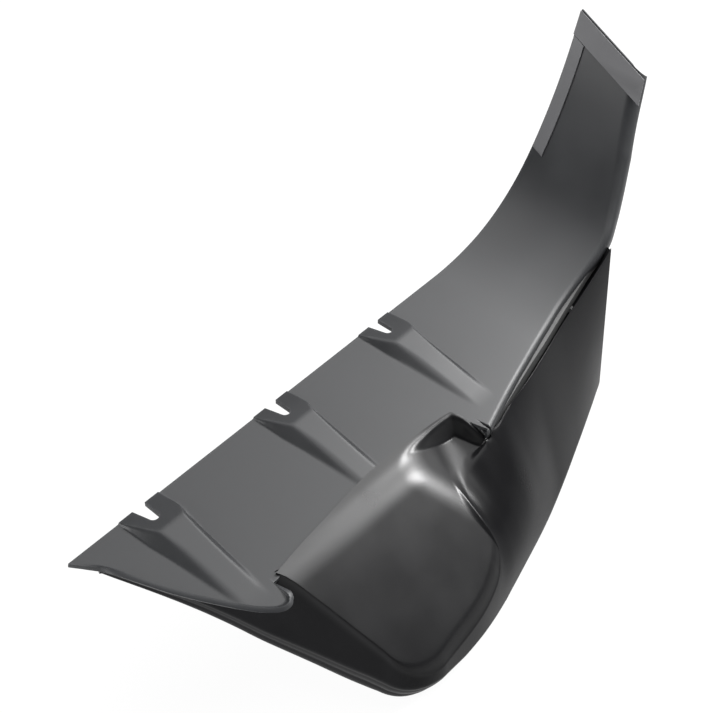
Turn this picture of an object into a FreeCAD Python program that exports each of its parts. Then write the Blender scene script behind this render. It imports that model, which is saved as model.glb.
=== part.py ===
import FreeCAD, Part
import math
import os

# Corner flap for a vehicle wheel opening: a wheel side panel with three notched
# bosses, an outer skin that wraps the front corner, adhesive beads between the
# two, foam tape on the upswept end and three webs inside.
# Origin: axis of the middle notch, on the top of its boss.  +X runs along the
# notched edge to the upswept end, the panel falls away towards -Y, +Z is up.

V = FreeCAD.Vector

# ---------------------------------------------------------------- driving sizes
PANEL_T = 2.8            # panel sheet
SKIN_T = 3.0             # outer skin sheet
GAP = 0.15               # clearance either side of an adhesive bead
SEAT = 0.25              # clearance of the webs and tapes
BEAD_T = 0.9             # adhesive bead
EDGE_Y = 11.0            # notched edge, from the notch axes
PANEL_W = 112.0          # panel blank, notched edge to rim side
WIDE = 200.0             # layers that must reach past the outer skin
FALL_DEG = 12.0          # panel falls this much towards the rim
TIP_X = -161.0           # pointed end of the notched edge
FLAT_END_X = 164.0       # the straight part of the edge ends here
EDGE_DROP = 1.0          # panel below the boss tops at the notched edge
BENDS = ((200.0, 12.0), (132.0, 46.0), (250.0, 64.0))   # radius, slope reached
END_RUN = 24.0           # straight run after the last bend
END_SKEW_DEG = 19.5      # upper end is cut at this angle

NOTCH_XS = (-109.0, 0.0, 99.0)
NOTCH_R = 3.2
NOTCH_MOUTH = 5.0        # half width at the edge
BOSS_HALF = 15.0
BOSS_FLAT_Y = -11.0      # end of the level boss top
BOSS_END_Y = -66.0       # the tail runs out here

RIM_FLANGE_DEPTH = 10.0
RIM_FLANGE_T = 2.6
RIM = ((84.0, -87.0), (146.0, -71.5), (182.0, -64.0), (206.0, -60.0), (229.0, -59.8),
       (249.0, -63.0), (267.0, -62.0), (294.0, -52.8), (311.0, -47.5), (334.0, -42.0))
TONGUE = ((-148.0, -6.0), (-136.0, -35.0), (-122.5, -59.0), (-111.0, -76.0))
LAP_Y = -66.0            # hidden panel edge under the skin's lap

SKIN_BOTTOM = -110.0
SKIN_TOP = 14.0
SKIN_REAR_X = 256.0
FRONT = ((-152.0, 5.0), (-116.0, -19.0), (-90.0, -66.0), (-64.0, -122.0))
SIDE_LOW = ((-34.0, -141.0), (13.0, -138.0), (70.0, -127.0), (130.0, -113.0),
            (194.0, -93.0), (SKIN_REAR_X, -72.0))
SIDE_LEAN = (18.0, 36.0, 47.0, 45.0, 31.0, 4.5)   # how far the side leans in by SKIN_TOP
SKIN_SHIFT = (1.7, 3.45) # inner face from outer face, seen from above
# distance along the front from the tip, and height of the lower edge above SKIN_BOTTOM
LOWER_EDGE = ((-60.0, 150.0), (-15.0, 110.0), (30.0, 60.0), (70.0, 38.5), (105.0, 23.0),
              (150.0, 6.0), (166.0, 4.0), (186.0, 2.0), (206.0, 0.0), (300.0, 0.0))
TURN_UNDER = 9.0
WALL_TOP_DROP = PANEL_T + BEAD_T + 2 * GAP        # wall stops under the panel

PAD_SLOPE = 0.98         # corner face falls this much per mm towards -Y
PAD_AT = (-66.0, -11.0)  # y and height where the corner face starts
SCOOP = (20.0, -75.0, -17.5, -0.314, 0.725)       # x, y, height, slope x, slope y
LAP_GAP = BEAD_T + 2 * GAP
LAP_EDGE = ((-91.0, -66.6), (-66.0, -64.4), (-37.5, -62.4), (-13.0, -60.7),
            (3.0, -60.1), (19.0, -60.4), (47.5, -62.0), (73.0, -64.6))
LAP_REAR = (83.6, -86.5)

TAPE_T = 1.2
TAPE_TOP_W = 17.0
TAPE_SIDE_W = 9.5
TAPE_SIDE_FROM_X = 277.0
LAP_BEAD_FRONT = ((-46.0, -64.9), (-31.0, -63.9), (-12.0, -62.6), (-12.0, -65.7), (-46.0, -65.7))
LAP_BEAD_REAR = ((12.0, -62.4), (34.0, -63.6), (54.0, -64.9), (54.0, -65.7), (12.0, -65.7))
RIB_T = 2.5
RIB_XS = (-30.0, 125.0, 215.0)

FALL = math.tan(math.radians(FALL_DEG))
EDGE_SLOPE = math.radians(BENDS[-1][1])


# --------------------------------------------------------------------- helpers
def level(y):
    """Panel top height over the flat part, at this y."""
    return -EDGE_DROP - FALL * (EDGE_Y - y)


def prism(points, low, high):
    """Upright solid on a closed outline of (x, y) points."""
    ring = [V(x, y, low) for x, y in points]
    face = Part.Face(Part.makePolygon(ring + [ring[0]]))
    return face.extrude(V(0, 0, high - low))


def profile(drop):
    """Side view of the panel, moved down by drop, as edges from tip to top."""
    z0 = -EDGE_DROP
    start = V(TIP_X - 30, EDGE_Y, z0 - drop)
    here = V(FLAT_END_X, EDGE_Y, z0 - drop)
    edges = [Part.makeLine(start, here)]
    x, z, slope = FLAT_END_X, z0, 0.0
    for radius, reach in BENDS:
        cx = x - radius * math.sin(slope)
        cz = z + radius * math.cos(slope)
        end = math.radians(reach)

        def on_arc(angle):
            r = radius + drop
            return V(cx + r * math.sin(angle), EDGE_Y, cz - r * math.cos(angle))

        middle = (slope + end) / 2
        edges.append(Part.Arc(on_arc(slope), on_arc(middle), on_arc(end)).toShape())
        x = cx + radius * math.sin(end)
        z = cz - radius * math.cos(end)
        slope = end
        here = on_arc(end)
    top = here + V(math.cos(slope), 0, math.sin(slope)) * END_RUN
    edges.append(Part.makeLine(here, top))
    return edges, start, top


def sheet(upper, lower, width=PANEL_W):
    """Panel-shaped layer between two drops below the panel top."""
    a, a0, a1 = profile(upper)
    b, b0, b1 = profile(lower)
    ring = a + [Part.makeLine(a1, b1)] + b + [Part.makeLine(b0, a0)]
    face = Part.Face(Part.Wire(Part.__sortEdges__(ring)))
    layer = face.extrude(V(0, -width, -width * FALL))
    return layer


def top_corner():
    """Upper corner of the notched edge."""
    return profile(0.0)[2]


def end_cutter(inset):
    """Everything past the skewed upper end, less inset."""
    along = V(math.cos(EDGE_SLOPE), 0, math.sin(EDGE_SLOPE))
    away = V(math.sin(EDGE_SLOPE), 0, -math.cos(EDGE_SLOPE))
    across = V(0, -1, -FALL) - along * math.tan(math.radians(END_SKEW_DEG))
    base = top_corner() - along * inset - away * 30 - across * 20
    ring = [base, base + across * 110, base + across * 110 + along * 90, base + along * 90]
    face = Part.Face(Part.makePolygon(ring + [ring[0]]))
    return face.extrude(away * 60)


def spline_edge(points, z=0.0):
    curve = Part.BSplineCurve()
    curve.interpolate([V(x, y, z) for x, y in points])
    return curve.toShape()


def plan_solid(edges, low, high):
    face = Part.Face(Part.Wire(Part.__sortEdges__(edges)))
    face.translate(V(0, 0, low))
    return face.extrude(V(0, 0, high - low))


def line(p, q, z=0.0):
    return Part.makeLine(V(p[0], p[1], z), V(q[0], q[1], z))


# ------------------------------------------------------------ wheel side panel
def panel_outline():
    """Seen from above: tip, tongue, slot, hidden lap edge, rim, notched edge."""
    tip = (TIP_X, EDGE_Y)
    corner = (-101.0, -83.5)
    nose = (-97.0, -82.0)
    slot = (-94.5, -67.0)
    lap = (-86.0, LAP_Y)
    lap_end = (68.0, LAP_Y)
    under = (77.0, -86.0)
    far = (RIM[-1][0], EDGE_Y)
    edges = [spline_edge((tip,) + TONGUE + (corner,)), line(corner, nose), line(nose, slot),
             line(slot, lap), line(lap, lap_end), line(lap_end, under), line(under, RIM[0]),
             spline_edge(RIM), line(RIM[-1], far), line(far, tip)]
    return edges


def boss(x, inset, low):
    """One boss with its tail; inset > 0 gives the hollow under it."""
    top = -inset
    back = EDGE_Y + (5.0 if inset else 0.0)
    half = BOSS_HALF - inset
    flat = BOSS_FLAT_Y + 0.6 * inset
    end = BOSS_END_Y + 8.0 * inset / PANEL_T
    end_z = level(end) - inset
    tops = [V(x - half, back, top), V(x + half, back, top), V(x + half, -5.0, top),
            V(x + 11.0 - inset, flat, top), V(x - 6.5 + 0.4 * inset, flat, top)]
    ends = [V(x + 8.0 - inset, end, end_z), V(x - 8.0 + inset, end, end_z)]

    def foot(px, py):
        return V(x + px, py, level(py) - low)

    feet = [foot(-half - 0.8, back), foot(half + 0.8, back), foot(half + 1.6, -5.0),
            foot(half + 0.6, -14.0), foot(8.6 - inset, end - 1.0), foot(inset - 8.6, end - 1.0),
            foot(inset - 13.2, -25.0)]
    rows = [(tops[0], tops[1], feet[1], feet[0]), (tops[1], tops[2], feet[2], feet[1]),
            (tops[2], tops[3], feet[3], feet[2]), (tops[3], ends[0], feet[4], feet[3]),
            (ends[0], ends[1], feet[5], feet[4]), (ends[1], tops[4], feet[6], feet[5]),
            (tops[4], tops[0], feet[0], feet[6])]
    polys = [tops, [tops[3], ends[0], ends[1], tops[4]], feet]
    for p, q, r, s in rows:
        polys.append([p, q, r])
        polys.append([p, r, s])
    faces = [Part.Face(Part.makePolygon(list(ring) + [ring[0]])) for ring in polys]
    shell = Part.makeShell(faces)
    shell.sewShape()
    solid = Part.makeSolid(shell)
    if solid.Volume < 0:
        solid.reverse()
    return solid


def notch(x):
    """Flared open notch with a round end."""
    ring = [(x - NOTCH_R, 0.0), (x + NOTCH_R, 0.0), (x + NOTCH_MOUTH, EDGE_Y + 1),
            (x - NOTCH_MOUTH, EDGE_Y + 1)]
    bore = Part.makeCylinder(NOTCH_R, 40, V(x, 0, -20))
    return prism(ring, -20, 20).fuse(bore)


def make_panel():
    plan = plan_solid(panel_outline(), -80, 220)
    body = sheet(0.0, PANEL_T).common(plan)
    strip_edges = [spline_edge(RIM), line(RIM[-1], (RIM[-1][0], RIM[-1][1] + RIM_FLANGE_T)),
                   spline_edge([(x, y + RIM_FLANGE_T) for x, y in RIM]),
                   line(RIM[0], (RIM[0][0], RIM[0][1] + RIM_FLANGE_T))]
    strip = plan_solid(strip_edges, -80, 220)
    body = body.fuse(sheet(PANEL_T / 2, RIM_FLANGE_DEPTH).common(strip))
    for x in NOTCH_XS:
        body = body.fuse(boss(x, 0.0, PANEL_T / 2))
    for x in NOTCH_XS:
        body = body.cut(boss(x, PANEL_T, PANEL_T + 4))
    for x in NOTCH_XS:
        body = body.cut(notch(x))
    body = body.cut(end_cutter(0.0))
    return body.removeSplitter()


# ------------------------------------------------------------------ outer skin
def skin_ring(z, leaning):
    """Closed outline of the skin's outer face at one height."""
    side = [(x, y + (lean if leaning else 0.0)) for (x, y), lean in zip(SIDE_LOW, SIDE_LEAN)]
    a, b = FRONT[-1], side[0]
    bulge = V(-54.0, (a[1] + b[1]) / 2 - 4.5, z)
    corner = Part.Arc(V(a[0], a[1], z), bulge, V(b[0], b[1], z)).toShape()
    inner = EDGE_Y - 3.0
    edges = [spline_edge(FRONT, z), corner, spline_edge(side, z),
             line(side[-1], (SKIN_REAR_X, inner), z), line((SKIN_REAR_X, inner), FRONT[0], z)]
    return Part.Wire(edges)


def skin_volume(shift=0.0):
    low = skin_ring(SKIN_BOTTOM, False)
    high = skin_ring(SKIN_TOP, True)
    body = Part.makeLoft([low, high], True, True)
    body.translate(V(SKIN_SHIFT[0] * shift / SKIN_T, SKIN_SHIFT[1] * shift / SKIN_T, 0))
    return body


def above_bottom(lift=0.0):
    """Space above the lower edge, which climbs to the tip along the front."""
    heading = V(0.42, -0.91, 0)
    marks = [(along, SKIN_BOTTOM + rise) for along, rise in LOWER_EDGE]
    origin = V(-124.0, EDGE_Y, 0)
    ring = [origin + heading * a + V(0, 0, z + lift) for a, z in marks]
    ring += [origin + heading * 300 + V(0, 0, 300), origin - heading * 60 + V(0, 0, 300)]
    ring = [p - V(0.91, 0.42, 0) * 200 for p in ring]
    face = Part.Face(Part.makePolygon(ring + [ring[0]]))
    return face.extrude(V(0.91, 0.42, 0) * 900)


def below_plane(points):
    """Space under the plane through three points."""
    a, b, c = [V(*p) for p in points]
    normal = (b - a).cross(c - a)
    normal.normalize()
    if normal.z < 0:
        normal = normal * -1
    box = Part.makePlane(900, 900, V(0, 0, 0), V(0, 0, 1))
    box.translate(V(-450, -450, 0))
    body = box.extrude(V(0, 0, -400))
    body.Placement = FreeCAD.Placement(a, FreeCAD.Rotation(V(0, 0, 1), normal))
    return body


def pad_height(x, y):
    return PAD_AT[1] + PAD_SLOPE * (y - PAD_AT[0]) + 0.02 * (x + 91.0)


def scoop_height(x, y):
    x0, y0, z0, sx, sy = SCOOP
    return z0 + sx * (x - x0) + sy * (y - y0)


def corner_block(thick):
    """Space under the corner face and the scoop beside it."""
    shapes = []
    for height in (pad_height, scoop_height):
        slope_x = height(1, 0) - height(0, 0)
        slope_y = height(0, 1) - height(0, 0)
        drop = thick * math.sqrt(1 + slope_x ** 2 + slope_y ** 2)
        shapes.append(below_plane([(x, y, height(x, y) - drop)
                                   for x, y in ((0, -60), (100, -60), (0, -160))]))
    return shapes[0].common(shapes[1])


def lap_outline():
    inner = ((74.0, -91.0), (66.0, -71.5), (20.0, -70.5), (-40.0, -70.5), (-88.0, -70.5))
    edges = [spline_edge(LAP_EDGE), line(LAP_EDGE[-1], LAP_REAR)]
    last = LAP_REAR
    for point in inner:
        edges.append(line(last, point))
        last = point
    edges.append(line(last, LAP_EDGE[0]))
    return edges


def make_skin():
    outer = skin_volume()
    wall = outer.cut(skin_volume(SKIN_T))
    wall = wall.common(sheet(WALL_TOP_DROP, 160.0, WIDE))
    pad_zone = prism([(-94, -66.5), (-88, -70.5), (20, -70.5), (48, -130), (48, -160),
                      (-94, -160)], -140, 60)
    scoop_zone = prism([(20, -70.5), (66, -71.5), (76, -91), (86, -105), (48, -160),
                        (48, -130)], -140, 60)
    roof_zone = pad_zone.fuse(scoop_zone)
    roof = corner_block(0.0).cut(corner_block(SKIN_T)).common(roof_zone).common(outer)
    wall_pad = wall.common(pad_zone).common(corner_block(0.0))
    dip = below_plane([(40, -100, -40.0), (84, -90, -25.0), (40, -200, -40.0)])
    wall_scoop = wall.common(scoop_zone).common(dip)
    wall_rest = wall.cut(roof_zone)
    body = wall_rest.fuse([wall_pad, wall_scoop, roof])
    lap = sheet(-LAP_GAP - SKIN_T, -LAP_GAP).common(plan_solid(lap_outline(), -80, 60))
    body = body.fuse(lap)
    web_ring = [(-88, -70.5), (-40, -70.5), (20, -70.5), (66, -71.5), (74, -91), (77, -91),
                (69, -68.5), (20, -67.5), (-40, -67.5), (-88, -67.5)]
    web = prism(web_ring, -60, 60).common(sheet(-LAP_GAP - SKIN_T, 60.0))
    web = web.cut(corner_block(SKIN_T))
    body = body.fuse(web)
    body = body.common(above_bottom())
    flange = outer.cut(skin_volume(TURN_UNDER + SKIN_T))
    flange = flange.common(above_bottom()).cut(above_bottom(SKIN_T))
    flange = flange.common(Part.makeBox(600, 400, 60, V(-120, -300, -130)))
    body = body.fuse(flange)
    return body.removeSplitter()


# --------------------------------------------------------------- small members
def rim_bead():
    near = [(x, y - 2 * GAP) for x, y in RIM]
    far = [(near[0][0], near[0][1] - 30), (near[-1][0], near[0][1] - 30)]
    strip = plan_solid([spline_edge(near), line(near[0], far[0]), line(far[0], far[1]),
                        line(far[1], near[-1])], -80, 60)
    cut = Part.makeBox(160.0, 300, 200, V(92.0, -200, -100))
    return strip.common(skin_volume(SKIN_T + 2 * GAP)).common(sheet(4.5, 8.5, WIDE)).common(cut)


def front_bead():
    wall = skin_volume(0.4).cut(skin_volume(SKIN_T - 0.4))
    zone = prism([(-150, 20), (-96, 20), (-96, -62), (-150, -62)], -80, 60)
    return wall.common(sheet(PANEL_T + GAP, WALL_TOP_DROP - GAP)).common(zone)


def lap_bead(ring):
    return sheet(-LAP_GAP + GAP, -GAP).common(prism(ring, -80, 60))


def tape_layer():
    return sheet(-TAPE_T - SEAT, -SEAT).common(plan_solid(panel_outline(), -80, 220))


def end_tape_top():
    return tape_layer().common(end_cutter(TAPE_TOP_W)).cut(end_cutter(1.0))


def end_tape_side():
    zone = prism([(TAPE_SIDE_FROM_X, EDGE_Y - 0.8), (340, EDGE_Y - 0.8),
                  (340, EDGE_Y - TAPE_SIDE_W), (TAPE_SIDE_FROM_X - 2, EDGE_Y - TAPE_SIDE_W)],
                 -80, 220)
    return tape_layer().common(zone).cut(end_cutter(TAPE_TOP_W + 0.3))


def rib(x):
    """Web between the panel's underside and the skin's inner face."""
    slab = Part.makeBox(RIB_T, 400, 300, V(x - RIB_T / 2, -300, -150))
    body = slab.common(skin_volume(SKIN_T + SEAT)).common(sheet(PANEL_T + SEAT, 160.0, WIDE))
    relief = Part.makeCylinder(95.0, 40, V(x - 20, -5.0, -118.0), V(1, 0, 0))
    body = body.cut(relief)
    body = body.common(above_bottom(SKIN_T + SEAT))
    if x < LAP_REAR[0]:
        body = body.common(corner_block(SKIN_T + SEAT))
    else:
        rim_y = max(y for px, y in RIM if abs(px - x) < 35)
        beside = Part.makeBox(40, 200, 300, V(x - 20, rim_y + RIM_FLANGE_T + 1 - 200, -150))
        body = body.cut(sheet(-5.0, RIM_FLANGE_DEPTH + SEAT, WIDE).common(beside))
    edge = Part.makeBox(40, 60, 300, V(x - 20, EDGE_Y - 24.0, -150))
    return body.cut(edge)


# ---------------------------------------------------------------------- output
os.makedirs("parts", exist_ok=True)
NODES = {
    "wheel_side_panel": make_panel(),
    "outer_skin": make_skin(),
    "rim_bead": rim_bead(),
    "front_bead": front_bead(),
    "lap_bead_front": lap_bead(LAP_BEAD_FRONT),
    "lap_bead_rear": lap_bead(LAP_BEAD_REAR),
    "end_tape_top": end_tape_top(),
    "end_tape_side": end_tape_side(),
    "web_front": rib(RIB_XS[0]),
    "web_middle": rib(RIB_XS[1]),
    "web_rear": rib(RIB_XS[2]),
}
for name, shape in NODES.items():
    box = shape.BoundBox
    print(name, "solids", len(shape.Solids), "valid", shape.isValid(), "vol", round(shape.Volume),
          [round(v, 1) for v in (box.XMin, box.YMin, box.ZMin, box.XMax, box.YMax, box.ZMax)])
    shape.exportStep("parts/" + name + ".step")
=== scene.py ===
# %% [markdown]
# # A corner mud flap, modelled over its CAD frame
# The flap is two black plastic mouldings bonded together: a wheel side panel with three
# notched bosses and an upswept end, and a deep outer skin that wraps the front corner.
# The CAD frame already holds every piece at its true size. Here the two big mouldings get
# their soft moulded shapes, and the small ones get a finish.

# %% Load the frame
import bpy
import math
import numpy as np
from mathutils import Matrix, Vector


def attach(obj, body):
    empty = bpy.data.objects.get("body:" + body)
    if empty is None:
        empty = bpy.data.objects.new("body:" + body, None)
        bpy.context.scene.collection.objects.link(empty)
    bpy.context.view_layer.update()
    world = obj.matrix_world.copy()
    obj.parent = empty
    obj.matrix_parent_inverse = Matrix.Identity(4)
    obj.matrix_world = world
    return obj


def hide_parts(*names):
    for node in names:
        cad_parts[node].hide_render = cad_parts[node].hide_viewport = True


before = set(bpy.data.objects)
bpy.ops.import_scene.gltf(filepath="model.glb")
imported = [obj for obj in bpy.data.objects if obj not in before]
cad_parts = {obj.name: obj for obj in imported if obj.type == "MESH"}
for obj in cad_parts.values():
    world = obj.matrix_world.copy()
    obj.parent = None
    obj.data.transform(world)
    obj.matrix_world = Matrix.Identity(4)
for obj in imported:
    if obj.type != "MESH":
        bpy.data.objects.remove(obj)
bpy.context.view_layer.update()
MM = 0.001
print("nodes:", sorted(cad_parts))

# %% [markdown]
# Both mouldings are thin sheets, so each one starts as Blender's grid primitive. A grid has
# neat columns and rows, and each point is then laid where the moulding's surface is. The
# sheet gets its wall from Solidify afterwards. Sculpting would be slower and less exact,
# and a box with bevels can't follow a section that changes all the way along.

# %% A grid laid onto a surface


def only(piece):
    """Selects one piece and nothing else."""
    bpy.ops.object.select_all(action="DESELECT")
    piece.select_set(True)
    bpy.context.view_layer.objects.active = piece


def laid_grid(name, points):
    """A grid primitive whose points are moved to points[column][row], in millimetres."""
    columns, rows = points.shape[:2]
    bpy.ops.object.select_all(action="DESELECT")
    bpy.ops.mesh.primitive_grid_add(x_subdivisions=columns - 1, y_subdivisions=rows - 1, size=1)
    piece = bpy.context.object
    piece.name = name
    piece.data.name = name
    flat = points.transpose(1, 0, 2).reshape(-1, 3) * MM
    piece.data.vertices.foreach_set("co", flat.astype(np.float32).ravel())
    piece.data.update()
    print(name, "starts as a sheet of", columns, "by", rows, "points")
    return piece


def give_wall(piece, thickness, share=None):
    """Turns a sheet into a closed wall; share[column][row] makes it thinner in places."""
    only(piece)
    wall = piece.modifiers.new("wall", "SOLIDIFY")
    wall.thickness = thickness * MM
    wall.offset = -1.0
    wall.use_even_offset = False
    if share is not None:
        group = piece.vertex_groups.new(name="thickness")
        for index, value in enumerate(share.T.ravel()):
            group.add([index], float(value), "REPLACE")
        wall.vertex_group = "thickness"
    bpy.ops.object.modifier_apply(modifier="wall")
    print(piece.name, "has a wall of", thickness, "mm")


def soften_edges(piece, width, angle=40.0, segments=2):
    """Rounds the sharp edges a little, as a mould leaves them, and shades the rest smooth."""
    only(piece)
    edge = piece.modifiers.new("edge", "BEVEL")
    edge.width = width * MM
    edge.segments = segments
    edge.limit_method = "ANGLE"
    edge.angle_limit = math.radians(angle)
    edge.use_clamp_overlap = True
    bpy.ops.object.modifier_apply(modifier="edge")
    bpy.ops.object.shade_smooth_by_angle(angle=math.radians(angle))
    print(piece.name, len(piece.data.vertices), "points")


# %% [markdown]
# Moulded plastic has no sudden changes: one face rolls into the next. These small helpers
# blend two heights over a chosen width, ease from 0 to 1, and draw a smooth line through
# a few given points, which is how a designer lofts a curve.

# %% Blending helpers


def soft_min(a, b, width):
    """The lower of two heights, with a fillet of about this width where they cross."""
    h = np.clip(0.5 + 0.5 * (b - a) / width, 0.0, 1.0)
    return b * (1 - h) + a * h - width * h * (1 - h)


def soft_max(a, b, width):
    """The higher of two heights, with a hollow fillet where they cross."""
    return -soft_min(-a, -b, width)


def ease(x, start, end):
    """Goes from 0 at start to 1 at end, level at both."""
    t = np.clip((x - start) / (end - start), 0.0, 1.0)
    return t * t * (3 - 2 * t)


def slopes_at(xs, ys):
    """Slope at each knot of a smooth line, from the runs on its two sides."""
    step = np.diff(ys) / np.diff(xs)
    inner = (step[1:] * np.diff(xs)[:-1] + step[:-1] * np.diff(xs)[1:]) / (xs[2:] - xs[:-2])
    return np.concatenate([[step[0]], inner, [step[-1]]])


def smooth_line(knots, x):
    """Height of the smooth line through the knots at each x."""
    xs, ys = np.array(knots, float).T
    m = slopes_at(xs, ys)
    x = np.clip(np.asarray(x, float), xs[0], xs[-1])
    i = np.clip(np.searchsorted(xs, x, side="right") - 1, 0, len(xs) - 2)
    w = xs[i + 1] - xs[i]
    t = (x - xs[i]) / w
    return (ys[i] * (1 + 2 * t) * (1 - t) ** 2 + ys[i + 1] * t * t * (3 - 2 * t)
            + w * (m[i] * t * (1 - t) ** 2 - m[i + 1] * t * t * (1 - t)))


def spaced(*runs):
    """Column positions: each run is start, end and spacing."""
    parts = []
    for start, end, spacing in runs:
        count = max(2, int(round(abs(end - start) / spacing)) + 1)
        parts.append(np.linspace(start, end, count)[:-1])
    return np.concatenate(parts + [[runs[-1][1]]])


def distances(steps):
    """Running total of the steps, from nought."""
    return np.concatenate([[0], np.cumsum(steps)])


print("a fillet between 1 and 1:", round(float(soft_min(1.0, 1.0, 0.4)), 3))

# %% [markdown]
# ## The wheel side panel
# Seen from the side, the panel is straight under the wheel opening and then sweeps up in
# three arcs that run into each other. Walking along that line by its own length keeps the
# grid's columns evenly spaced even where it is steep.

# %% Side profile of the panel
PANEL_T = 2.8
EDGE_Y = 11.0
EDGE_DROP = 1.0
TIP_X = -161.0
FLAT_END_X = 164.0
FALL = math.tan(math.radians(12.0))
BENDS = ((200.0, 12.0), (132.0, 46.0), (250.0, 64.0))
END_RUN = 24.0

walk = [0.0, FLAT_END_X - TIP_X]
turn = [0.0, 0.0]
for radius, reach in BENDS:
    angle = math.radians(reach)
    walk.append(walk[-1] + radius * (angle - turn[-1]))
    turn.append(angle)
PROFILE_END = walk[-1] + END_RUN
walk.append(PROFILE_END)
turn.append(turn[-1])
fine = np.linspace(0.0, PROFILE_END, 8000)
fine_turn = np.interp(fine, walk, turn)
heading = (fine_turn[1:] + fine_turn[:-1]) / 2
fine_x = TIP_X + distances(np.cos(heading) * np.diff(fine))
fine_z = -EDGE_DROP + distances(np.sin(heading) * np.diff(fine))
print("profile length", round(PROFILE_END, 1), "top at", round(fine_x[-1], 1), round(fine_z[-1], 1))


def panel_z(x, y):
    """Height of the panel's top at a place seen from above."""
    return np.interp(x, fine_x, fine_z) - FALL * (EDGE_Y - y)


# %% [markdown]
# Seen from above, the notched edge is straight and the far edge is not: it follows the
# tongue at the front, steps back behind a slot, hides under the skin's lap, and then
# becomes the rim that rolls down beside the skin.

# %% Far edge of the panel
TONGUE = ((-161.0, 11.0), (-155.0, 3.0), (-148.0, -6.5), (-142.0, -20.5), (-136.0, -34.5),
          (-129.0, -48.0), (-122.5, -59.0), (-115.0, -71.0), (-109.0, -78.5), (-104.0, -83.0),
          (-100.5, -84.2), (-97.0, -83.2), (-95.0, -80.0), (-94.2, -75.0))
RIM = ((84.0, -90.2), (114.0, -82.4), (146.0, -75.0), (182.0, -67.5), (206.0, -63.7), (229.0, -63.2),
       (249.0, -65.2), (258.0, -65.0), (267.0, -62.4), (280.0, -58.0), (294.0, -52.8), (311.0, -47.5),
       (334.0, -42.0))
LAP_EDGE = ((-91.0, -68.2), (-66.8, -65.8), (-38.2, -63.6), (-14.1, -61.6), (2.0, -60.8), (18.2, -61.2),
            (33.0, -61.8), (46.7, -63.1), (60.3, -64.3), (73.0, -66.0))
SLOT_X = -94.15
LAP_END_X = 72.0
RIM_X = RIM[0][0]
HIDDEN = 2.0


def far_edge(x):
    """Place of the far edge at x: along the tongue, then under the lap, then the rim."""
    y = np.where(x < SLOT_X, smooth_line(TONGUE, x), smooth_line(LAP_EDGE, x) - HIDDEN)
    y = np.where(x > LAP_END_X, -68.0 - 22.2 * ease(x, 72.8, 83.0), y)
    return np.where(x > RIM_X, smooth_line(RIM, x), y)


print("far edge at the middle notch:", round(float(far_edge(0.0)), 1))

# %% [markdown]
# Each boss is a level seat round a notch, with a tail that runs out down the slope. Its
# faces are the seat, the tail's top and two flanks, which grow flatter along the tail.
# Taking the lowest of them at each point gives the boss, and the soft minimum rounds its
# ridges as the mould does. An extruded block would leave a step where the tail runs out.

# %% Shape of one boss
NOTCH_XS = (-109.0, 0.0, 99.0)
NOTCH_R = 3.2
SEAT_END_Y = -11.0
TAIL_END_Y = -71.0


def boss_rise(x, y):
    """How far one boss stands above the sloping panel, with x measured from its notch."""
    seat = EDGE_DROP + FALL * (EDGE_Y - y)
    seat_back = EDGE_DROP + FALL * (EDGE_Y - SEAT_END_Y)
    tail = seat_back * (y - TAIL_END_Y) / (SEAT_END_Y - TAIL_END_Y)
    left_foot = np.interp(y, (-80, -66, -25, -11, 11), (-8.0, -8.6, -12.6, -14.6, -15.4))
    left_slope = np.interp(y, (-66, -30, -11, 2, 11), (0.5, 0.62, 0.72, 0.95, 2.2))
    right_foot = np.interp(y, (-80, -66, -14, -5, 11), (8.6, 9.6, 15.4, 16.6, 15.7))
    right_slope = np.interp(y, (-66, -25, -11, -5, 11), (0.5, 1.2, 1.5, 2.6, 3.2))
    left = (x - left_foot) * left_slope
    right = (right_foot - x) * right_slope
    top = soft_min(seat, tail, 0.5)
    flanks = soft_min(left, right, 1.0)
    rise = soft_min(top, flanks, 0.9 + 0.5 * ease(-y, 8.0, 30.0))
    return soft_max(rise, rise * 0.0, 0.5)


print("seat stands", round(float(boss_rise(0.0, 5.0)), 2), "mm above the sheet at y 5")

# %% [markdown]
# The sheet's cross section is laid by its own length too. It is straight from the notched
# edge, and near the far edge it bends: down through nearly a quarter circle along the
# rim, and up by half as much for the stiff lip of the tongue.

# %% Cross section of the panel
RIM_DEPTH = 10.0
RIM_TURN = math.radians(88)
LIP_TURN = math.radians(46)
BEND_RUN = 16.5
xs = spaced((TIP_X + 0.4, -140, 1.5), (-140, -125.5, 1.4), (-125.5, -121, 0.5), (-121, -97, 1.0),
            (-97, -94.2, 0.35), (-94.0, -91, 1.0), (-91, -17, 2.4), (-17, -12, 0.5), (-12, 14, 1.0),
            (14, 18, 0.5), (18, 68, 3.0), (68, 78, 1.2), (78, 86, 0.5), (86, 111, 1.0), (111, 118, 0.5),
            (118, FLAT_END_X, 2.5))
along = np.concatenate([xs - TIP_X, np.linspace(FLAT_END_X - TIP_X, PROFILE_END, 78)[1:]])
FLAT_ROWS, BEND_ROWS = 84, 26


def on_profile(s):
    """Place and slope of the side profile at a distance from the tip."""
    return (np.interp(s, fine, fine_x), np.interp(s, fine, fine_z), np.interp(s, fine, fine_turn))


def rim_radius(x):
    """Radius of the roll along the rim, which opens out up the swept end."""
    return np.interp(x, (84, 150, 230, 262, 300, 330), (3.8, 3.8, 4.2, 6.0, 9.0, 9.8))


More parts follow.
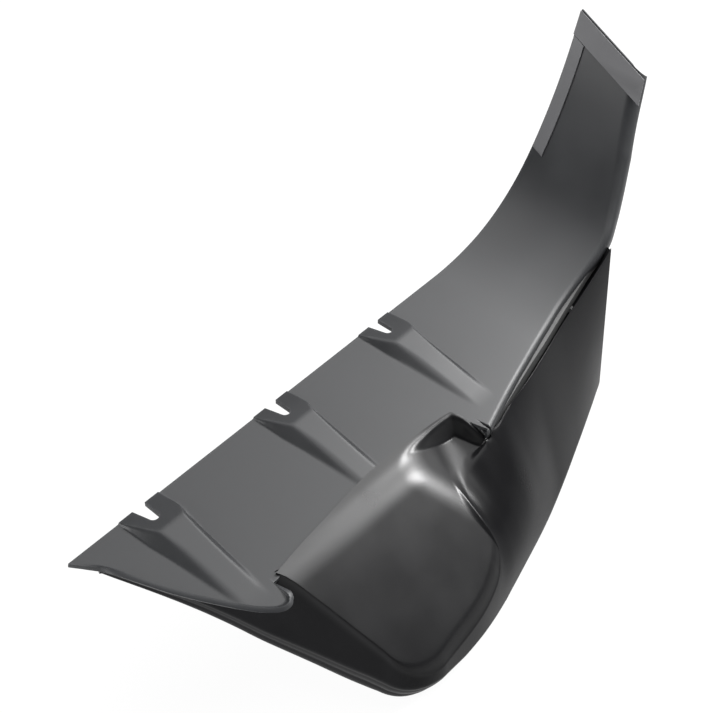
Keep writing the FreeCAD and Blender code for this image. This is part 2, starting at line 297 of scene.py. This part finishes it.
def panel_column(s):
    """One cross section of the sheet, from the notched edge to its far side."""
    x = np.interp(s, fine, fine_x)
    rim = float(ease(x, 81.5, 84.0))
    lip = float(1 - ease(x, -95.0, -94.0)) * float(ease(x, -158.0, -140.0))
    width = EDGE_Y - float(far_edge(x))
    radius = float(rim_radius(x))
    bend_run = min(BEND_RUN, width * 0.6)
    q = np.linspace(0.0, bend_run, BEND_ROWS + 1)
    arc = radius * math.pi / 2
    arc_start = bend_run - arc - max(0.0, RIM_DEPTH - radius)
    lean = rim * RIM_TURN * np.clip((q - arc_start) / arc, 0, 1)
    lean = lean - lip * LIP_TURN * ease(q, bend_run - 3.6, bend_run - 1.2)
    mid = (lean[1:] + lean[:-1]) / 2
    out = distances(np.cos(mid) * np.diff(q))
    down = distances(np.sin(mid) * np.diff(q))
    flat = width - out[-1]
    reach = np.concatenate([np.linspace(0, flat, FLAT_ROWS + 1)[:-1], flat + out])
    drop = np.concatenate([np.zeros(FLAT_ROWS), down])
    return reach, drop


print("a cross section has", len(panel_column(0.0)[0]), "points")

# %% [markdown]
# A cross section says only how far each point lies across the sheet and below it. Here it
# gets its place: along the side profile, with the upper end cut askew by drawing the last
# columns in, down the panel's fall, and up on the bosses where there is one.

# %% Points of the panel
END_SKEW = math.tan(math.radians(19.5))
SKEW_RUN = 70.0
BOSS_REACH = 30


def panel_column_points(s):
    """Points of one cross section, with the skewed upper end and the bosses."""
    reach, drop = panel_column(s)
    y = EDGE_Y - reach
    skewed_end = PROFILE_END - END_SKEW * reach
    start = PROFILE_END - SKEW_RUN
    place = np.where(s > start, start + (s - start) * (skewed_end - start) / SKEW_RUN, s)
    x, z, slope = on_profile(place)
    z = z - FALL * reach
    for notch_x in NOTCH_XS:
        if abs(x[0] - notch_x) < BOSS_REACH:
            z = z + boss_rise(x - notch_x, y)
    normal = np.stack([-np.sin(slope), -FALL * np.cos(slope), np.cos(slope)], -1)
    normal = normal / np.linalg.norm(normal, axis=-1, keepdims=True)
    return np.stack([x, y, z], -1) - normal * drop[:, None]


panel_points = np.array([panel_column_points(s) for s in along])
print("panel grid", panel_points.shape)

# %% [markdown]
# The notches go right through, so they are cut with a boolean. The cutter is a cylinder
# whose outer half is pulled past the edge and spread a little, which makes the flare that
# lets a screw slide in.

# %% Build the panel and cut its notches
NOTCH_MOUTH = 5.0

panel = laid_grid("panel_moulding", panel_points[:, ::-1])
give_wall(panel, PANEL_T)


def notch_cutter(x):
    """A cylinder at the notch's axis, stretched past the edge and flared."""
    bpy.ops.object.select_all(action="DESELECT")
    bpy.ops.mesh.primitive_cylinder_add(vertices=48, radius=NOTCH_R * MM, depth=40 * MM)
    cutter = bpy.context.object
    for point in cutter.data.vertices:
        if point.co.y > 0.2 * MM:
            point.co.x *= NOTCH_MOUTH / NOTCH_R
            point.co.y += (EDGE_Y + 1.0) * MM
        point.co.x += x * MM
    cutter.data.update()
    return cutter


for notch_x in NOTCH_XS:
    cutter = notch_cutter(notch_x)
    only(panel)
    cut = panel.modifiers.new("notch", "BOOLEAN")
    cut.operation = "DIFFERENCE"
    cut.solver = "EXACT"
    cut.object = cutter
    bpy.ops.object.modifier_apply(modifier="notch")
    bpy.data.objects.remove(cutter)
soften_edges(panel, 0.35)
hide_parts("wheel_side_panel")
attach(panel, "root")

# %% [markdown]
# ## The outer skin
# Seen from above, the skin's wall runs down the front edge, turns the corner and goes back
# along the side. It stands upright at its foot and leans in as it rises, most of all just
# behind the corner. So a place on it is a distance along the foot and a height, and one
# table says how far the wall has leaned in by its top. A ruled wall would be simpler, but
# it has no belly, and the corner's soft crease would come out as a straight fold.

# %% Wall of the skin
SKIN_T = 3.0
SKIN_BOTTOM = -110.0
SKIN_TOP = 14.0
FRONT = ((-152.0, 5.0), (-116.0, -19.0), (-90.0, -66.0), (-64.0, -122.0))
SIDE_LOW = ((-34.0, -141.0), (13.0, -138.0), (70.0, -127.0), (130.0, -113.0), (194.0, -93.0),
            (256.0, -72.0))
SIDE_LEAN = ((-34.0, 0.0), (13.0, 20.0), (28.0, 50.0), (43.5, 98.0), (56.0, 92.0), (70.0, 70.0),
             (84.0, 55.0), (110.0, 49.0), (130.0, 45.0), (194.0, 31.0), (256.0, 4.5))
LEAN_HEIGHT = 85.0
CORNER_X = -54.0
CORNER_BULGE = 4.5


def curve_points(knots, per_span):
    """Points of a smooth curve through knots in the plane, by chord length."""
    knots = np.array(knots, float)
    chord = distances(np.linalg.norm(np.diff(knots[:, :2], axis=0), axis=1))
    t = np.linspace(0, chord[-1], per_span * (len(knots) - 1) + 1)
    return np.stack([smooth_line(list(zip(chord, k)), t) for k in knots.T], -1)


front = curve_points([(x, y, 0.0) for x, y in FRONT], 60)
side = curve_points([(x, y, 0.0) for x, y in SIDE_LOW], 60)
side[:, 2] = smooth_line(SIDE_LEAN, side[:, 0])
front_end, side_start = np.array(FRONT[-1]), np.array(SIDE_LOW[0])
bulge_point = np.array((CORNER_X, (front_end[1] + side_start[1]) / 2 - CORNER_BULGE))
t = np.linspace(0, 1, 41)[1:-1, None]
corner = (front_end * (1 - t) * (1 - 2 * t) + bulge_point * 4 * t * (1 - t)
          + side_start * t * (2 * t - 1))
corner = np.concatenate([corner, t * 0.0], 1)
foot = np.concatenate([front, corner, side])
foot_run = distances(np.linalg.norm(np.diff(foot[:, :2], axis=0), axis=1))
RUN_END = foot_run[-1]
print("foot of the wall is", round(RUN_END, 1), "mm long")


def wall_at(w, z):
    """Place on the wall's outer face."""
    x = np.interp(w, foot_run, foot[:, 0])
    y = np.interp(w, foot_run, foot[:, 1])
    lean = np.interp(w, foot_run, foot[:, 2])
    above = np.maximum(z - SKIN_BOTTOM, 0.0) / LEAN_HEIGHT
    bulge = 3.0 - 2.0 * ease(x, 50.0, 150.0)
    y = y + lean * LEAN_HEIGHT / (SKIN_TOP - SKIN_BOTTOM) * above ** bulge
    return np.stack(np.broadcast_arrays(x, y, z), -1)


def run_at(x, y):
    """Distance along the foot nearest to a place."""
    return float(foot_run[np.argmin((foot[:, 0] - x) ** 2 + (foot[:, 1] - y) ** 2)])


# %% [markdown]
# On top of the corner lies a sloping face, and beside it a scoop falls away towards the
# rim and levels out near it. They and the lap that covers the panel's edge are planes,
# blended with wide fillets: this is the soft ridge that catches the light.

# %% Corner face, scoop and lap
LAP_RISE = 2.4
CLEAR = 4.0


def plane(x, y, through, slope_x, slope_y):
    """Height at a place on the plane through one point, with its two slopes."""
    return through[2] + slope_x * (x - through[0]) + slope_y * (y - through[1])


def corner_height(x, y, away=99.0):
    """Height of the top of the corner, this far from the lap's trimmed edge."""
    lap = LAP_RISE - EDGE_DROP - FALL * (EDGE_Y - y)
    face = plane(x, y, (-91.0, -66.0, -11.0), 0.02, 0.98)
    scoop = plane(x, y, (20.0, -75.0, -17.5), -0.314, 0.725)
    levelling = plane(x, y, (84.0, -90.0, -32.0), 0.30, 0.40)
    scoop = soft_max(scoop, levelling, 9.0)
    scoop = (lap + CLEAR) + (scoop - lap - CLEAR) * ease(away, 0.0, 8.0)
    return soft_min(soft_min(lap, face, 7.3), scoop, CLEAR)


w_pad = run_at(-88.6, -69.3)
w_corner = run_at(-50.0, -136.0)
w_side = run_at(-10.0, -141.0)
w_jump = run_at(43.5, -132.8)
w_rim = run_at(84.0, -124.0)
print("stations along the foot:", [round(v, 1) for v in (w_pad, w_corner, w_side, w_jump, w_rim)])

# %% [markdown]
# The skin is laid as cross sections too. Each one starts at the lap's trimmed edge, runs
# over the corner face to the crest, goes down the wall, and turns under at the foot. Where
# there is no corner face, the section is only the wall with a narrow land on top.
# These tables say, by distance along the foot, where the lap starts, how high the crest
# of the scoop is, how wide the crest and the foot are rolled, and how far the foot turns
# under. A drawn outline with its own points would do too, but a table is easier to adjust.

# %% Tables for the skin's sections
LOWER_EDGE = ((-60.0, 150.0), (-15.0, 110.0), (30.0, 59.0), (70.0, 36.0), (105.0, 19.5),
              (150.0, 2.5), (166.0, 0.8), (186.0, 0.2), (206.0, 0.0), (300.0, 0.0))
LAP_RUN = ((w_pad, -89.4), (w_pad + 24, -76.0), (w_corner - 14, -54.0), (w_corner + 12, -31.0),
           (w_side, -8.0), (run_at(20.0, -137.0), 10.0), (w_jump - 8, 20.0), (w_jump - 2, 27.0),
           (w_jump, 44.0), (w_jump + 16, 73.0))
LAP_REAR = ((w_jump + 16, 73.0, -66.0), (w_jump + 23, 75.8, -71.5), (w_jump + 32, 78.0, -79.0),
            (w_rim, 81.6, -89.4))
CRESCENT = ((w_jump, -44.0), (w_jump + 7, -41.2), (w_jump + 16, -37.5), (w_jump + 23.5, -34.5),
            (w_jump + 33, -31.0), (w_rim, -28.0))
CREST_ROUND = ((0.0, 0.7), (w_pad, 1.0), (w_pad + 20, 1.3), (w_corner - 18, 3.0), (w_corner, 7.0),
               (w_side, 9.0), (w_jump - 10, 9.0), (w_jump - 2, 6.0), (w_jump + 1.5, 1.6), (w_rim, 1.2),
               (w_rim + 3, 0.5), (RUN_END, 0.5))
FOOT_ROUND = ((0.0, 5.0), (60.0, 18.0), (w_corner - 30, 28.0), (w_corner, 22.0), (w_side, 10.0),
              (w_jump, 5.0), (RUN_END, 3.0))
FOOT_TURN = ((0.0, 4.0), (60.0, 14.0), (w_corner - 30, 24.0), (w_corner, 22.0), (w_side, 13.0),
             (w_jump, 10.0), (RUN_END, 9.0))


def knot(table, w):
    """Value of a table of two columns at w."""
    xs, ys = np.array(table, float).T
    return float(np.interp(w, xs, ys))


def lower_edge(x, y):
    """Height of the skin's foot, which climbs towards the tip along the front."""
    ahead = 0.42 * (x + 124.0) - 0.91 * (y - EDGE_Y)
    return SKIN_BOTTOM + smooth_line(LOWER_EDGE, ahead)


def crossing(z, gap):
    """Height at which gap first turns negative."""
    below = np.nonzero(gap < 0)[0]
    if len(below) == 0:
        return float(z[-1])
    i = max(1, int(below[0]))
    return float(z[i - 1] + (z[i] - z[i - 1]) * gap[i - 1] / (gap[i - 1] - gap[i]))


tip_rise = lower_edge(*FRONT[0]) - SKIN_BOTTOM
print("foot at the tip stands", round(float(tip_rise)), "mm above the lowest")

# %% [markdown]
# The top of a section has two forms. Over the corner it runs from the lap's trimmed edge
# to the crest. Elsewhere it is a ledge sunk inside the wall, a step, and the narrow land
# that shows beside the panel. Each form has its own function, so that either can be
# changed without touching the other.

# %% Top of a section
heights = np.linspace(SKIN_BOTTOM, 12.0, 500)
UNDER_PANEL = 4.0
INWARD = np.array([1.7, 3.45]) / math.hypot(1.7, 3.45)


def lap_point(w):
    """Where the section at w starts, on the lap's trimmed edge."""
    if w < LAP_REAR[0][0]:
        x = knot(LAP_RUN, w)
        return np.array([x, float(smooth_line(LAP_EDGE, x))])
    table = np.array(LAP_REAR, float)
    return np.array([np.interp(w, table[:, 0], table[:, k]) for k in (1, 2)])


def crest_height(w):
    """Height at which the section at w turns from the top down the wall."""
    wall = wall_at(w, heights)
    panel_gap = panel_z(wall[:, 0], wall[:, 1]) - UNDER_PANEL - heights
    under_panel = crossing(heights, panel_gap)
    if not w_pad <= w <= w_rim:
        return under_panel
    crest = crossing(heights, corner_height(wall[:, 0], wall[:, 1]) - heights)
    risen = min(knot(CRESCENT, w), under_panel)
    return crest + (risen - crest) * float(ease(w, w_jump - 2.0, w_jump))


def ledge_roof(w, top):
    """Top without a corner face: a sunk ledge, a step up and a narrow land."""
    if w > w_rim:
        deep = 8.5 - 7.0 * float(ease(w, RUN_END - 14.0, RUN_END - 2.0))
        reach, step = 13.0, 0.8
    else:
        deep, step = 5.0, 2.4
        reach = 2.8 + 4.2 * float(ease(w, 20.0, 80.0))
    ledge = np.array([*(top[:2] + INWARD * reach), top[2] - deep])
    step_in = np.array([*(top[:2] + INWARD * step), top[2] - deep])
    land = step_in + np.array([0, 0, deep])
    return np.concatenate([np.linspace(ledge, step_in, 12)[:-1],
                           np.linspace(step_in, land, 12)[:-1], np.linspace(land, top, 12)])


def corner_roof(w, top):
    """Top over the corner, from the lap's trimmed edge to the crest."""
    lap = lap_point(w)
    plan = np.linspace(lap, top[:2], 260)
    away = np.linalg.norm(plan - lap, axis=1)
    level = corner_height(plan[:, 0], plan[:, 1], away)
    if w > w_jump - 4.0:
        level = level + (top[2] - level[-1]) * ease(away / away[-1], 0.66, 1.0)
    roof = np.column_stack([plan, level])
    roof[-1] = top
    return roof


print("crest at the corner stands", round(crest_height(w_corner) - SKIN_BOTTOM, 1), "mm above the foot")

# %% [markdown]
# A moving average along the section rounds its corners, and its window sets how soft each
# one is: a crisp line beside the front face, a wide roll towards the side. A bevel
# modifier could round a fixed amount, but here the roll changes all the way along.

# %% One cross section of the skin
TOP_ROWS, WALL_ROWS = 64, 60
LEAST_WINDOW = 0.5


def rounded(path, run, rows, corners):
    """Mean of the path over a window round each row; corners are (place, window) pairs."""
    steps = (path[1:] + path[:-1]) / 2 * np.diff(run)[:, None]
    total = np.concatenate([[np.zeros(3)], np.cumsum(steps, axis=0)])
    window = np.full(len(rows), LEAST_WINDOW)
    for place, width in corners:
        near = np.clip(1.5 - np.abs(rows - place) / max(width, 1.0), 0, 1)
        window = np.maximum(window, width * near)
    window = np.maximum(1e-4, np.minimum(window, np.minimum(rows, run[-1] - rows)))
    low, high = rows - window, rows + window
    mean = [(np.interp(high, run, total[:, k]) - np.interp(low, run, total[:, k])) / (2 * window)
            for k in range(3)]
    return np.stack(mean, -1)


def skin_section(w):
    """Points of the section at w, from the lap or ledge to the turned-under foot."""
    crest = crest_height(w)
    top = wall_at(w, np.array([crest]))[0]
    roof = corner_roof(w, top) if w_pad <= w <= w_rim else ledge_roof(w, top)
    foot_z = float(lower_edge(*wall_at(w, np.array([SKIN_BOTTOM]))[0][:2]))
    down = wall_at(w, np.linspace(crest, min(foot_z, crest - 2.0), 200))
    turned = down[-1] + np.array([*(INWARD * knot(FOOT_TURN, w)), 0.0])
    path = np.concatenate([roof, down[1:], np.linspace(down[-1], turned, 30)[1:]])
    run = distances(np.linalg.norm(np.diff(path, axis=0), axis=1))
    crest_at = run[len(roof) - 1]
    foot_at = run[len(roof) + len(down) - 2]
    rows = np.concatenate([np.linspace(0, crest_at, TOP_ROWS + 1)[:-1],
                           np.linspace(crest_at, run[-1], WALL_ROWS + 1)])
    section = rounded(path, run, rows, ((crest_at, knot(CREST_ROUND, w)), (foot_at, knot(FOOT_ROUND, w))))
    section[0], section[-1] = path[0], path[-1]
    return section


print("a section has", len(skin_section(w_corner)), "points")

# %% [markdown]
# Now the sections are laid side by side, closest where the shape changes fastest. The wall
# from Solidify is thinned along the rim, where the skin's edge tucks beside the panel, so
# that its inner face doesn't show. A point attribute marks the top of the corner, so that
# the finish can be glossier there than on the wall.

# %% Build the skin
stations = spaced((5.0, w_pad - 2, 2.6), (w_pad - 2, w_pad + 3, 0.6), (w_pad + 3, w_corner - 20, 2.2),
                  (w_corner - 20, w_side + 10, 1.5), (w_side + 10, w_jump - 12, 1.6),
                  (w_jump - 12, w_jump - 2, 0.7), (w_jump - 2, w_jump, 0.08), (w_jump, w_jump + 6, 0.6),
                  (w_jump + 6, w_rim + 4, 1.2), (w_rim + 4, RUN_END, 3.2))
skin_points = np.array([skin_section(w) for w in stations])
print("skin grid", skin_points.shape)
skin = laid_grid("skin_moulding", skin_points[:, ::-1])
row = np.arange(TOP_ROWS + WALL_ROWS + 1)[None, :]
at = stations[:, None]
land = ease(row, 0.45 * TOP_ROWS, 0.55 * TOP_ROWS) * (1 - ease(row, TOP_ROWS + 5, TOP_ROWS + 9))
beside_rim = 1 - 0.9 * land * ease(at, w_rim - 1.0, w_rim + 2.0)
scoop_end = ease(at, w_jump + 6.0, w_jump + 14.0) * (1 - ease(at, w_rim, w_rim + 2.0))
thin_roof = 1 - 0.7 * scoop_end * (1 - ease(row, TOP_ROWS, TOP_ROWS + 5))
corner_top = ((at >= w_pad) & (at <= w_rim)) * (1 - ease(row, TOP_ROWS - 8, TOP_ROWS + 8))
polished = corner_top * (1 - 0.65 * ease(at, w_jump - 3.0, w_jump + 6.0))
polish = skin.data.attributes.new("polish", "FLOAT", "POINT")
polish.data.foreach_set("value", polished[:, ::-1].T.ravel().astype(np.float32))
give_wall(skin, SKIN_T, np.minimum(beside_rim, thin_roof)[:, ::-1])
only(skin)
bpy.ops.object.shade_smooth_by_angle(angle=math.radians(40))
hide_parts("outer_skin")
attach(skin, "root")
print(skin.name, len(skin.data.vertices), "points")

# %% [markdown]
# ## Finishes
# Black polypropylene is satin, with a fine grain from the mould. A little noise in the
# colour and the gloss keeps it from looking like paint, and pointed edges are painted a
# touch paler: a painted highlight where their rounding catches the light, with a little
# rubbed wear. An image would have to be unwrapped and would repeat, so
# the finish is made of noise on object coordinates. These helpers each add a node or two.

# %% Node helpers


def noise(finish, size, detail):
    """Noise on object coordinates, with clouds of about this size in metres."""
    nodes, links = finish.node_tree.nodes, finish.node_tree.links
    place = nodes.new("ShaderNodeTexCoord")
    cloud = nodes.new("ShaderNodeTexNoise")
    cloud.inputs["Scale"].default_value = 1.0 / size
    cloud.inputs["Detail"].default_value = detail
    links.new(place.outputs["Object"], cloud.inputs["Vector"])
    return cloud.outputs["Fac"]


def between(finish, value, low, high, to_low, to_high):
    """The value, stretched from one range to another."""
    stretch = finish.node_tree.nodes.new("ShaderNodeMapRange")
    for socket, number in zip(stretch.inputs[1:5], (low, high, to_low, to_high)):
        socket.default_value = number
    finish.node_tree.links.new(value, stretch.inputs["Value"])
    return stretch.outputs["Result"]


def mixed(finish, factor, second):
    """A colour mix whose second colour is given; its first is set or linked later."""
    mix = finish.node_tree.nodes.new("ShaderNodeMix")
    mix.data_type = "RGBA"
    mix.inputs["B"].default_value = (*second, 1)
    finish.node_tree.links.new(factor, mix.inputs["Factor"])
    return mix


# %% [markdown]
# One recipe makes every finish here. Clouds drive both the roughness and the tint, paler
# pointed edges lie over the tint as a painted highlight with a little wear, and a fine grain
# goes to the bump. The grain could be modelled, but it is far smaller than the wall, and
# bump shows it well enough.

# %% A moulded plastic finish
CLOUD = 0.035
SPREAD = 0.10
EDGE_HIGHLIGHT_AND_WEAR = 0.25


def moulded(name, colour, roughness, grain=0.0006, depth=0.00004, gloss=0.4):
    """A satin moulded material; grain and depth are in metres."""
    finish = bpy.data.materials.new(name)
    finish.use_nodes = True
    nodes, links = finish.node_tree.nodes, finish.node_tree.links
    shader = nodes["Principled BSDF"]
    shader.inputs["Specular IOR Level"].default_value = gloss
    clouds = noise(finish, CLOUD, 4.0)
    rougher = between(finish, clouds, 0.3, 0.7, roughness * (1 - SPREAD), roughness * (1 + SPREAD))
    links.new(rougher, shader.inputs["Roughness"])
    tint = mixed(finish, between(finish, clouds, 0.3, 0.7, 0.0, 1.0), [c * 1.12 for c in colour])
    tint.inputs["A"].default_value = (*[c * 0.9 for c in colour], 1)
    # Pointed edges are painted paler: a painted highlight standing in for the light on rounded edges,
    # with a little wear.
    edge = nodes.new("ShaderNodeNewGeometry").outputs["Pointiness"]
    rub_and_edge_highlight = mixed(finish, between(finish, edge, 0.53, 0.62, 0.0, EDGE_HIGHLIGHT_AND_WEAR),
                [min(1.0, c * 2.2 + 0.01) for c in colour])
    links.new(tint.outputs["Result"], rub_and_edge_highlight.inputs["A"])
    links.new(rub_and_edge_highlight.outputs["Result"], shader.inputs["Base Color"])
    bump = nodes.new("ShaderNodeBump")
    bump.inputs["Strength"].default_value = 0.35
    bump.inputs["Distance"].default_value = depth
    links.new(noise(finish, grain, 3.0), bump.inputs["Height"])
    links.new(bump.outputs["Normal"], shader.inputs["Normal"])
    print("finish:", name)
    return finish


panel_finish = moulded("satin panel plastic", (0.012, 0.0125, 0.0135), 0.44, gloss=0.24)
skin_finish = moulded("satin skin plastic", (0.005, 0.005, 0.0054), 0.30)
web_finish = moulded("as-moulded web plastic", (0.025, 0.025, 0.026), 0.55)
bead_finish = moulded("cured adhesive", (0.012, 0.012, 0.012), 0.6, grain=0.002, depth=0.0002)
tape_finish = moulded("foam tape", (0.034, 0.034, 0.036), 0.6, grain=0.0005, depth=0.00006)

# %% [markdown]
# The skin's gloss isn't the same all over: its wall is duller than the top of the corner,
# which keeps it dark beside a pale floor. The attribute laid on its points carries that,
# so the change follows the shape and not where the camera stands. Then every piece takes
# its finish.

# %% Polish on the skin, and a finish for each piece
WALL_GLOSS, TOP_GLOSS = 0.03, 0.30

mark = skin_finish.node_tree.nodes.new("ShaderNodeAttribute")
mark.attribute_name = "polish"
gloss = between(skin_finish, mark.outputs["Fac"], 0.0, 1.0, WALL_GLOSS, TOP_GLOSS)
skin_shader = skin_finish.node_tree.nodes["Principled BSDF"]
skin_finish.node_tree.links.new(gloss, skin_shader.inputs["Specular IOR Level"])


def paint(piece, finish):
    """Gives a piece one finish and no other."""
    piece.data.materials.clear()
    piece.data.materials.append(finish)


paint(panel, panel_finish)
paint(skin, skin_finish)
for node in ("web_front", "web_middle", "web_rear"):
    paint(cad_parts[node], web_finish)
for node in ("rim_bead", "front_bead", "lap_bead_front", "lap_bead_rear"):
    paint(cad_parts[node], bead_finish)
for node in ("end_tape_top", "end_tape_side"):
    paint(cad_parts[node], tape_finish)
print("a finish is on each of", len(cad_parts), "nodes or the moulding in its place")

# %% [markdown]
# ## Studio
# The flap lies on a pale floor. Black plastic shows mostly what it reflects, so the floor
# has to look white to the camera and in the plastic, and still take the flap's shadow. A
# little of its plain paper is mixed with a white glow, and the glow is only for rays from
# the camera, from a reflection, or through something clear, so it lights nothing else.

# %% Floor
FLOOR_DROP = 0.0008
WHITE_SHARE = 0.95

bpy.ops.object.select_all(action="DESELECT")
bpy.ops.mesh.primitive_plane_add(size=60.0, location=(0.1, -0.05, SKIN_BOTTOM * MM - FLOOR_DROP))
floor = bpy.context.object
floor.name = "studio_floor"
paper = bpy.data.materials.new("pale paper")
paper.use_nodes = True
nodes, links = paper.node_tree.nodes, paper.node_tree.links
shader = nodes["Principled BSDF"]
shader.inputs["Base Color"].default_value = (0.85, 0.85, 0.85, 1)
shader.inputs["Roughness"].default_value = 0.9
glow = nodes.new("ShaderNodeEmission")
glow.inputs["Color"].default_value = (1, 1, 1, 1)
rays = nodes.new("ShaderNodeLightPath")


def reckoned(operation, first, second):
    """Output of one Math node; the second value is a socket or a number."""
    node = nodes.new("ShaderNodeMath")
    node.operation = operation
    links.new(first, node.inputs[0])
    if isinstance(second, float):
        node.inputs[1].default_value = second
    else:
        links.new(second, node.inputs[1])
    return node.outputs[0]


either = reckoned("MAXIMUM", rays.outputs["Is Camera Ray"], rays.outputs["Is Glossy Ray"])
seen = reckoned("MAXIMUM", either, rays.outputs["Is Transmission Ray"])
blend = nodes.new("ShaderNodeMixShader")
links.new(reckoned("MULTIPLY", seen, WHITE_SHARE), blend.inputs["Fac"])
links.new(shader.outputs[0], blend.inputs[1])
links.new(glow.outputs[0], blend.inputs[2])
links.new(blend.outputs[0], nodes["Material Output"].inputs["Surface"])
paint(floor, paper)
print("floor at", round(floor.location.z / MM, 1), "mm")

# %% [markdown]
# The room is dim and grey, which keeps the shaded sides dark. The broad box overhead lights
# the panel evenly. The small ones are each aimed so that one soft ridge of the corner
# mirrors them to the camera, and the end box lights the faces that look towards the tip.
# An area lamp is used for all, because black plastic shows a lamp's shape in its gloss.

# %% Room and lamps
world = bpy.context.scene.world or bpy.data.worlds.new("room")
bpy.context.scene.world = world
world.use_nodes = True
world.node_tree.nodes.clear()
out = world.node_tree.nodes.new("ShaderNodeOutputWorld")
room = world.node_tree.nodes.new("ShaderNodeBackground")
room.inputs["Color"].default_value = (0.30, 0.30, 0.31, 1)
room.inputs["Strength"].default_value = 0.3
world.node_tree.links.new(room.outputs[0], out.inputs["Surface"])
AIM = Vector((0.08, -0.05, 0.0))


def soft_box(name, direction, distance, size, watts):
    """An area light that shines on the flap from one direction."""
    towards = Vector(direction).normalized()
    bpy.ops.object.light_add(type="AREA", location=AIM + towards * distance)
    lamp = bpy.context.object
    lamp.name = name
    lamp.data.shape = "RECTANGLE"
    lamp.data.size, lamp.data.size_y = size
    lamp.data.energy = watts
    lamp.rotation_euler = towards.to_track_quat("Z", "Y").to_euler()
    print(name, watts, "W")


soft_box("broad_box", (0.34, -0.04, 0.94), 1.6, (1.8, 1.9), 54.0)
soft_box("core_box", (0.76, -0.15, 0.61), 1.5, (0.26, 0.26), 34.0)
soft_box("ridge_box", (0.71, -0.51, 0.49), 1.5, (0.20, 0.20), 18.0)
soft_box("corner_box", (0.50, -0.55, 0.67), 1.5, (0.6, 0.6), 5.0)
soft_box("end_box", (-0.94, 0.32, 0.20), 1.6, (1.1, 0.9), 44.0)

# %% [markdown]
# The camera looks down on the front corner from the left. Its axes are written out as a
# matrix, because two directions say the view more plainly than three angles do.

# %% Camera
CAMERA_PLACE = Vector((-0.49165, -0.43240, 0.55079))
LENS = 74.575
SENSOR = 36.0

backward = Vector((-0.6235, -0.4819, 0.6157)).normalized()
right = Vector((0.6115, -0.7912, 0.0)).normalized()
up = backward.cross(right)
camera_data = bpy.data.cameras.new("camera")
camera = bpy.data.objects.new("camera", camera_data)
bpy.context.scene.collection.objects.link(camera)
turned = Matrix((right, up, backward)).transposed().to_4x4()
camera.matrix_world = Matrix.Translation(CAMERA_PLACE) @ turned
camera_data.sensor_width = SENSOR
camera_data.lens = LENS
camera_data.clip_start, camera_data.clip_end = 0.01, 50.0
bpy.context.scene.camera = camera
bpy.context.scene.view_settings.view_transform = "Standard"
print("camera at", [round(v, 3) for v in camera.matrix_world.translation])
